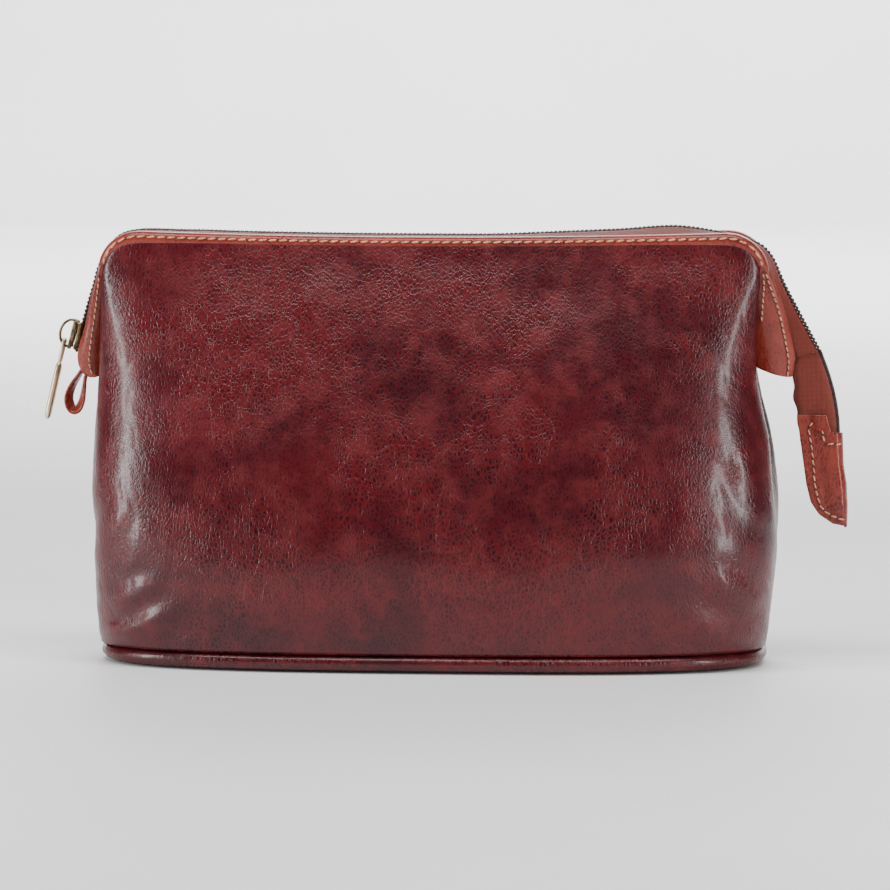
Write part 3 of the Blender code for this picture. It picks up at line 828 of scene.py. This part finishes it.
def ear_flap(name, inner, outer, place, side):
    """The flap itself, smoothed and given its thickness."""
    def flap(u, v):
        k = round(v * EAR_ROWS)
        spot = inner[k].lerp(outer[k], u)
        return place(jaw_point(side * spot.x, spot.y, ear_height(u, v)))

    ear = thicken(grid(name, flap, 14, EAR_ROWS, TRIM_LEATHER), EAR_LEATHER, offset=float(side),
                  edge=EDGE_LEATHER)
    subdivision = ear.modifiers.new("smooth", "SUBSURF")
    subdivision.levels = 1
    subdivision.render_levels = 1
    return ear


def build_ear(side_name, place, side, mirrored):
    """A leather ear over the hinge: a curved flap with its seams."""
    world = world_side(side, mirrored)
    shape = RIGHT_EAR if world > 0 else LEFT_EAR
    name = side_name + ("_right" if world > 0 else "_left")
    outer = ear_line(shape["outer"], EAR_ROWS + 1)
    inner = ear_line(shape["inner"], EAR_ROWS + 1)
    middle = [a.lerp(b, 0.5).y for a, b in zip(inner, outer)]

    def seam_height(spot):
        k = min(range(EAR_ROWS + 1), key=lambda row: abs(middle[row] - spot.y))
        span = outer[k] - inner[k]
        u = min(max((spot - inner[k]).dot(span) / span.length_squared, 0.0), 1.0)
        return ear_height(u, k / EAR_ROWS) + EAR_SEAM_LIFT

    ear = ear_flap(name + "_ear_leather", inner, outer, place, side)
    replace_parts(ear, name + "_ear")
    bend_ear(ear, side_name + "_jaw")
    out = place(Vector((0, -math.cos(BAR_TILT), -math.sin(BAR_TILT))))
    for k, seam in enumerate(shape["seams"]):
        row = []
        for spot in ear_line(seam, 60):
            row.append(place(jaw_point(side * spot.x, spot.y, seam_height(spot))))
        stitches(f"{name}_ear_stitches_{k}", row, out, side_name + "_jaw", EAR_STITCH, bend_ear)


def zip_lines():
    """The front tape's sewn edge and its teeth line, as matched smooth points."""
    sewn, teeth = [], []

    def add(teeth_places, sewn_places):
        for (x, z), (sewn_x, sewn_z) in zip(teeth_places, sewn_places):
            lean = (sewn_z - PIN_HEIGHT) * math.tan(BAR_TILT)
            tuck = TAPE_TUCK * ease(sewn_z, TAPE_TUCK_LOW, TAPE_TUCK_HIGH)
            teeth.append(Vector((x, -TEETH_Y, z)))
            depth = max(lean - (TAPE_CLEARANCE - tuck), TEETH_Y)
            sewn.append(Vector((sewn_x, -depth, sewn_z)))

    add(ZIP_LEFT_TEETH, ZIP_LEFT_SEWN)
    for k in range(-ZIP_SPANS, ZIP_SPANS + 1):
        x = k * ZIP_STEP
        height = ZIP_TOP - BAR_SAG * (1 - (k / ZIP_SPANS) ** 2)
        if abs(k) == ZIP_SPANS:
            height -= ZIP_END_DROP
        teeth.append(Vector((x * TEETH_SPREAD, -TEETH_Y, height + ZIP_HUMP.get(k, 0.0))))
        sewn.append(Vector((x, -TAPE_INNER_Y, height - TAPE_INNER_DROP)))
    add(ZIP_RIGHT_TEETH, ZIP_RIGHT_SEWN)
    return matched_curve(sewn), matched_curve(teeth)


def coil(name, line, phase=0.0, steps_per_turn=10):
    """One wire of the nylon coil: a helix round a line, its loops one pitch apart."""
    count = int(line_length(line) / COIL_PITCH * steps_per_turn)
    helix = []
    for k, (point, _, side, rise) in enumerate(frames_along(spaced(line, count))):
        angle = 2 * math.pi * k / steps_per_turn + phase
        helix.append(point + side * (COIL_LOOP * math.cos(angle))
                     + rise * (COIL_LOOP * math.sin(angle)))
    return tube(name, helix, round_section(COIL_WIRE), COIL, sides=5)


def tape_between(name, sewn, teeth):
    """A woven tape from its sewn edge to just short of the coil."""
    last = len(sewn) - 1

    def point(u, v):
        k = round(u * last)
        across = teeth[k] - sewn[k]
        reach = max(across.length - TAPE_SHORT, 0.5) / across.length
        crown = TAPE_CROWN * math.sin(math.pi * v)
        return sewn[k] + across * (reach * v) + Vector((0, 0, crown))

    return thicken(grid(name, point, last, 5, TAPE), TAPE_CLOTH, offset=0.0)


def build_zip_half(side, place, mirrored):
    """The tape and coil along one mouth frame."""
    sewn, teeth = zip_lines()
    if mirrored:
        sewn = [Vector((-p.x, p.y, p.z)) for p in reversed(sewn)]
        teeth = [Vector((-p.x, p.y, p.z)) for p in reversed(teeth)]
    sewn = [place(p) for p in sewn]
    teeth = [place(p) for p in teeth]
    tape = tape_between(side + "_zip_tape", sewn, teeth)
    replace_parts(tape, side + "_tape")
    wire = coil(side + "_zip_coil", teeth)
    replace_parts(wire, side + "_coil")
    for piece in (tape, wire):
        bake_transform(piece)


def build_tail():
    """The closed end of the zip past the right hinge, and its folded leather end."""
    for name, side in (("front", -1), ("rear", 1)):
        sewn = matched_curve(upright(TAIL_SEWN, side * TAIL_TAPE_Y))
        teeth = matched_curve(upright(TAIL_TEETH, side * TAIL_TAPE_Y))
        for k, point in enumerate(sewn):
            point.x += TAIL_WAVE * math.sin(k * TAIL_WAVE_RATE)
        tape = tape_between(name + "_tail_zip_tape", sewn, teeth)
        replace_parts(tape, name + "_tail_tape")
        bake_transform(tape)
    line = matched_curve(upright(TAIL_TEETH))
    wires = [coil(f"tail_zip_coil_{k}", line, phase) for k, phase in enumerate((0.0, math.pi))]
    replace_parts(wires[0], "tail_coil")
    for wire in wires:
        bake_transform(wire)
    build_end_tab("front", -1)
    build_end_tab("rear", 1)


def tab_edge(places, height):
    """The x of an outline of (x, z) places at a height; the places run downward."""
    for (x, z), (next_x, next_z) in zip(places, places[1:]):
        if z >= height >= next_z:
            return x + (next_x - x) * (z - height) / (z - next_z)
    return places[0][0] if height > places[0][1] else places[-1][0]


def tab_half_gap(share, height):
    """Half the thickness of the folded tab: flat where stitched, full along the fold."""
    full = TAB_FLAT + TAB_FOLD * ease(share, 0.3, 0.75) * ease(height, 53.0, 62.0)
    if height < TAB_CUT_TOP:
        full *= math.sqrt(max(1.0 - ease(share, 0.8, 1.0) ** 2, 0.0))
    return max(full, TAB_LEAST)


def build_end_tab(name, side):
    """One face of the leather folded over the zip's end."""
    def face(u, v):
        height = TAB_TOP + (TAB_RIGHT[-1][1] - TAB_TOP) * v
        left = tab_edge(TAB_LEFT, height)
        if height > TAB_CUT_TOP:
            right = TAB_CUT_X + (TAB_TOP - height) * TAB_CUT_SLANT
        else:
            right = tab_edge(TAB_RIGHT, height)
        return Vector((left + max(right - left, 0.3) * u, side * tab_half_gap(u, height), height))

    tab = thicken(grid(name + "_end_tab_leather", face, *TAB_GRID, TRIM_LEATHER), TAB_LEATHER,
                  offset=-float(side), edge=EDGE_LEATHER)
    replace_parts(tab, "end_tab_" + name)
    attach(tab, "zip_tail")
    for k, seam in enumerate(TAB_SEAMS):
        line = []
        for spot in curve_through(upright(seam), 50):
            left = tab_edge(TAB_LEFT, spot.z)
            share = (spot.x - left) / max(tab_edge(TAB_RIGHT, spot.z) - left, 1.0)
            depth = tab_half_gap(min(share, 1.0), spot.z) + TAB_SEAM_LIFT
            line.append(Vector((spot.x, side * depth, spot.z)))
        stitches(f"{name}_end_tab_stitches_{k}", line, Vector((0, side, 0)), "zip_tail",
                 TAB_STITCH)


WELT_STEPS = 360
WELT_GROOVE = 0.45
WELT_GROOVE_PLACE = -0.62
WELT_GROOVE_WIDTH = 0.13


def build_welt():
    """The piping round the base, with a seam's groove low on either side of it."""
    half_width = BASE_HALF_WIDTH - WELT_RADIUS
    half_depth = BASE_HALF_DEPTH - WELT_RADIUS
    points = []
    for k in range(WELT_STEPS):
        angle = 2 * math.pi * k / WELT_STEPS
        points.append(Vector((squared(math.cos(angle), 2 / 3) * half_width,
                              squared(math.sin(angle), 2 / 3) * half_depth, WELT_HEIGHT)))
    line = spaced(points + points[:1], WELT_STEPS + 1)[:-1]

    def section(share, angle):
        away = (math.sin(angle) - WELT_GROOVE_PLACE) / WELT_GROOVE_WIDTH
        radius = WELT_RADIUS - WELT_GROOVE * math.exp(-away**2)
        return (radius * math.cos(angle), radius * math.sin(angle))

    welt = tube("welt_piping", line, section, BODY_LEATHER, closed=True, up=Vector((0, 0, 1)),
                sides=40)
    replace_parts(welt, "base_welt")
    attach(welt, "bag_body")


def slider_place(out, across, along):
    """A point of the slider: outward from the bag, along Y, and up its length."""
    lengthwise = Vector((math.sin(SLIDER_LEAN), 0, math.cos(SLIDER_LEAN)))
    outward = Vector((-math.cos(SLIDER_LEAN), 0, math.sin(SLIDER_LEAN)))
    return SLIDER_CENTRE + outward * out + Vector((0, across, 0)) + lengthwise * along


# The slider's plates, as outward place, thickness and share of the full width, and its rails, as
# outward place and side.
SLIDER_PLATES = [(1.5, 1.3, 1.0), (-1.5, 1.1, 0.94)]
SLIDER_RAILS = [(1.0, -1), (1.0, 1), (-1.0, -1), (-1.0, 1)]
SLIDER_WAIST = 2.9
SLIDER_RAIL_WAIST = 2.5
SLIDER_FLARE = 1.1
FLANGE_START = 0.06
FLANGE_SHARE = 0.88
FLANGE_SECTION = (0.62, 0.4, 3.0)
POST_PLACE = 3.6
POST_SECTION = (1.5, 1.0)
BRIDGE_FOOT = 2.3
BRIDGE_RISE = 4.2
BRIDGE_HALF_LENGTH = 5.4
BRIDGE_SECTION = (0.55, 1.1, 2.6)


def slider_flare(share):
    """How much wider the slider grows from its waist to its nose."""
    return SLIDER_FLARE * ease(share, 0.25, 0.9)


def slider_piece(name, points, section, sides=16):
    piece = tube(name, points, section, DARK_BRASS, sides=sides)
    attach(piece, "slider")
    return piece


def slider_plate(name, out, thick, width_share):
    """One waisted plate with rounded ends."""
    line = [slider_place(out, 0.0, SLIDER_LENGTH * (k / 24 - 0.5)) for k in range(25)]

    def section(share, angle):
        half_width = SLIDER_WAIST + slider_flare(share)
        ends = math.sqrt(max(1.0 - (2 * share - 1) ** 8, 0.02))
        return (squared(math.cos(angle), 0.5) * thick / 2,
                squared(math.sin(angle), 0.5) * half_width * width_share * ends)

    return slider_piece(name, line, section, 24)


def slider_flange(name, out, side):
    """A rail along one edge of a plate, turned towards the other plate."""
    rail = []
    for step in range(17):
        share = FLANGE_START + FLANGE_SHARE * step / 16
        across = side * (SLIDER_RAIL_WAIST + slider_flare(share))
        rail.append(slider_place(out, across, SLIDER_LENGTH * (share - 0.5)))
    return slider_piece(name, rail, oval_section(*FLANGE_SECTION))


def slider_bridge():
    """The arch that holds the puller."""
    arch = []
    for k in range(33):
        angle = math.pi * k / 32
        arch.append(slider_place(BRIDGE_FOOT + BRIDGE_RISE * math.sin(angle), 0.0,
                                 BRIDGE_HALF_LENGTH * math.cos(angle)))
    return slider_piece("slider_bridge_arch", arch, oval_section(*BRIDGE_SECTION))


def build_slider():
    """Two waisted plates joined by a post at the nose, with their rails and the bridge."""
    plates = [slider_plate(f"slider_plate_{k}", *plate) for k, plate in enumerate(SLIDER_PLATES)]
    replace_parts(plates[0], "slider_body")
    for k, rail in enumerate(SLIDER_RAILS):
        slider_flange(f"slider_flange_{k}", *rail)
    post = [slider_place(out, 0.0, POST_PLACE) for out in (-1.4, -0.5, 0.5, 1.4)]
    slider_piece("slider_post", post, oval_section(*POST_SECTION))
    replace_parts(slider_bridge(), "slider_bridge")


# The puller's eye as (y, drop) places; the last three come back mirrored.
EYE_CORNERS = [(-1.9, 0.3), (0.0, -0.1), (1.9, 0.3), (2.4, 2.6), (2.0, 6.2), (0.9, 9.2)]
EYE_SECTION = (0.62, 0.7)
PULLER_HALF_THICKNESS = 1.35
PULLER_HALF_WIDTH = 2.0
PULLER_WIDENING = 0.7


def build_puller():
    """An eye round the bridge and a long bar with rounded ends."""
    down = Vector((-math.sin(PULLER_LEAN), 0, -math.cos(PULLER_LEAN)))
    corners = EYE_CORNERS + [(-y, drop) for y, drop in reversed(EYE_CORNERS[3:])]
    ring = [PULLER_PIVOT + Vector((0, y, 0)) + down * drop for y, drop in corners]
    ring.append(ring[0])
    eye = tube("puller_eye", curve_through(ring, 81)[:-1], oval_section(*EYE_SECTION),
               PALE_BRASS, closed=True, up=Vector((1, 0, 0)), sides=14)
    start = PULLER_LENGTH - PULLER_BAR
    line = [PULLER_PIVOT + down * (start + PULLER_BAR * k / 48) for k in range(49)]

    def section(share, angle):
        ends = math.sqrt(max(1.0 - (2 * share - 1) ** 10, 0.01))
        half_width = PULLER_HALF_WIDTH + PULLER_WIDENING * ease(share, 0.0, 0.25)
        return (squared(math.cos(angle), 0.8) * PULLER_HALF_THICKNESS * ends,
                squared(math.sin(angle), 0.8) * half_width * ends)

    bar = tube("puller_bar", line, section, PALE_BRASS, sides=28)
    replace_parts(bar, "puller")
    for piece in (eye, bar):
        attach(piece, "puller")


# The finger loop as (x, z) places, with how far it sways in Y and turns at its middle.
LOOP_PLACES = [(-138.6, 117.6), (-141.2, 112.6), (-144.9, 106.6), (-146.2, 101.8),
               (-144.9, 98.0), (-142.6, 97.8), (-140.8, 101.0), (-139.9, 105.9),
               (-139.2, 110.5), (-137.6, 114.2), (-136.7, 117.6)]
LOOP_STEPS = 90
LOOP_SWAY = 0.9
LOOP_TWIST = 0.55
LOOP_SECTION = (0.8, 2.7, 3.2)


def build_finger_loop():
    """A narrow strap folded into a loop, its ends held under the left ears."""
    line = curve_through(upright(LOOP_PLACES), LOOP_STEPS)
    for k, point in enumerate(line):
        point.y = LOOP_SWAY * math.sin(2 * math.pi * k / (LOOP_STEPS - 1))
    flat = oval_section(*LOOP_SECTION)

    def section(share, angle):
        twist = LOOP_TWIST * math.sin(math.pi * share) ** 2
        a, b = flat(share, angle)
        return (a * math.cos(twist) - b * math.sin(twist), a * math.sin(twist) + b * math.cos(twist))

    strap = tube("finger_loop_strap", line, section, TRIM_LEATHER, sides=24)
    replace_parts(strap, "finger_loop")
    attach(strap, "bag_body")


def finish_cad():
    """Materials for the CAD nodes that stay in view."""
    looks = {"base_panel": BODY_LEATHER, "base_board": BOARD, "base_lining": LINING,
             "left_hinge_tab": TRIM_LEATHER, "right_hinge_tab": TRIM_LEATHER,
             "left_hinge_rivet": DARK_BRASS, "right_hinge_rivet": DARK_BRASS,
             "front_frame": STEEL, "rear_frame": STEEL}
    for node, material in looks.items():
        mesh = frame["nodes"][node].data
        mesh.materials.clear()
        mesh.materials.append(material)


# The studio, in metres: name, place, size, energy and target of each light.
LIGHTS = [
    ("top_softbox", (0.0, -0.35, 1.1), (1.3, 0.3), 14.0, (0, 0, 0.13)),
    ("left_softbox", (-1.05, -0.5, 0.25), (0.16, 0.8), 13.0, (0, 0, 0.09)),
    ("right_softbox", (1.0, -0.75, 0.28), (0.16, 0.8), 10.0, (0, 0, 0.09)),
    ("rear_softbox", (0.2, 1.1, 0.9), (1.2, 0.7), 8.0, (0, 0, 0.1)),
    ("backdrop_wash", (0.0, 1.9, 2.2), (3.0, 0.8), 260.0, (0, 4.0, 0.9)),
]
WORLD_STRENGTH = 0.12
STAGE_SIZE = 12.0
FLOOR_DROP = 0.0005
BACKDROP_DISTANCE = 4.0


def stage_plane(name, place, turn=(0, 0, 0)):
    bpy.ops.mesh.primitive_plane_add(size=STAGE_SIZE, location=place, rotation=turn)
    plane = bpy.context.object
    plane.name = name
    plane.data.materials.append(FLOOR)
    return plane


def build_light(name, place, size, energy, target):
    """A rectangular soft light turned towards its target."""
    light = bpy.data.lights.new(name, "AREA")
    light.shape = "RECTANGLE"
    light.size, light.size_y = size
    light.energy = energy
    lamp = bpy.data.objects.new(name, light)
    lamp.location = place
    lamp.rotation_euler = (Vector(target) - Vector(place)).to_track_quat("-Z", "Y").to_euler()
    bpy.context.scene.collection.objects.link(lamp)


def build_studio():
    """Pale floor and backdrop, soft lights and a faint white world."""
    floor = stage_plane("floor", (0, 0, -FLOOR_DROP))
    backdrop = stage_plane("backdrop", (0, BACKDROP_DISTANCE, 0), (math.pi / 2, 0, 0))
    for light in LIGHTS:
        build_light(*light)
    world = bpy.data.worlds.new("studio")
    world.use_nodes = True
    world.node_tree.nodes["Background"].inputs["Color"].default_value = (1.0, 1.0, 1.0, 1.0)
    world.node_tree.nodes["Background"].inputs["Strength"].default_value = WORLD_STRENGTH
    bpy.context.scene.world = world


CAMERA_AZIMUTH = 4.5
CAMERA_ELEVATION = 5.0
CAMERA_DISTANCE = 2.0
CAMERA_TARGET = Vector((0.0043, 0.0, 0.0844))
CAMERA_LENS = 204.0


def build_camera():
    """A long lens that looks at the bag from slightly right and above."""
    a, e = math.radians(CAMERA_AZIMUTH), math.radians(CAMERA_ELEVATION)
    back = Vector((math.sin(a) * math.cos(e), -math.cos(a) * math.cos(e), math.sin(e)))
    data = bpy.data.cameras.new("camera")
    data.lens = CAMERA_LENS
    data.sensor_width = 36.0
    data.clip_end = 50.0
    camera = bpy.data.objects.new("camera", data)
    camera.location = CAMERA_TARGET + back * CAMERA_DISTANCE
    camera.rotation_euler = (-back).to_track_quat("-Z", "Y").to_euler()
    bpy.context.scene.collection.objects.link(camera)
    bpy.context.scene.camera = camera


build_camera()
build_studio()
finish_cad()
for side_name, placer, is_rear in (("front", Vector, False), ("rear", turned, True)):
    build_shell(side_name, placer, is_rear)
    build_casing(side_name, placer)
    for end in (-1, 1):
        build_ear(side_name, placer, end, is_rear)
    build_zip_half(side_name, placer, is_rear)
build_welt()
build_tail()
build_slider()
build_puller()
build_finger_loop()
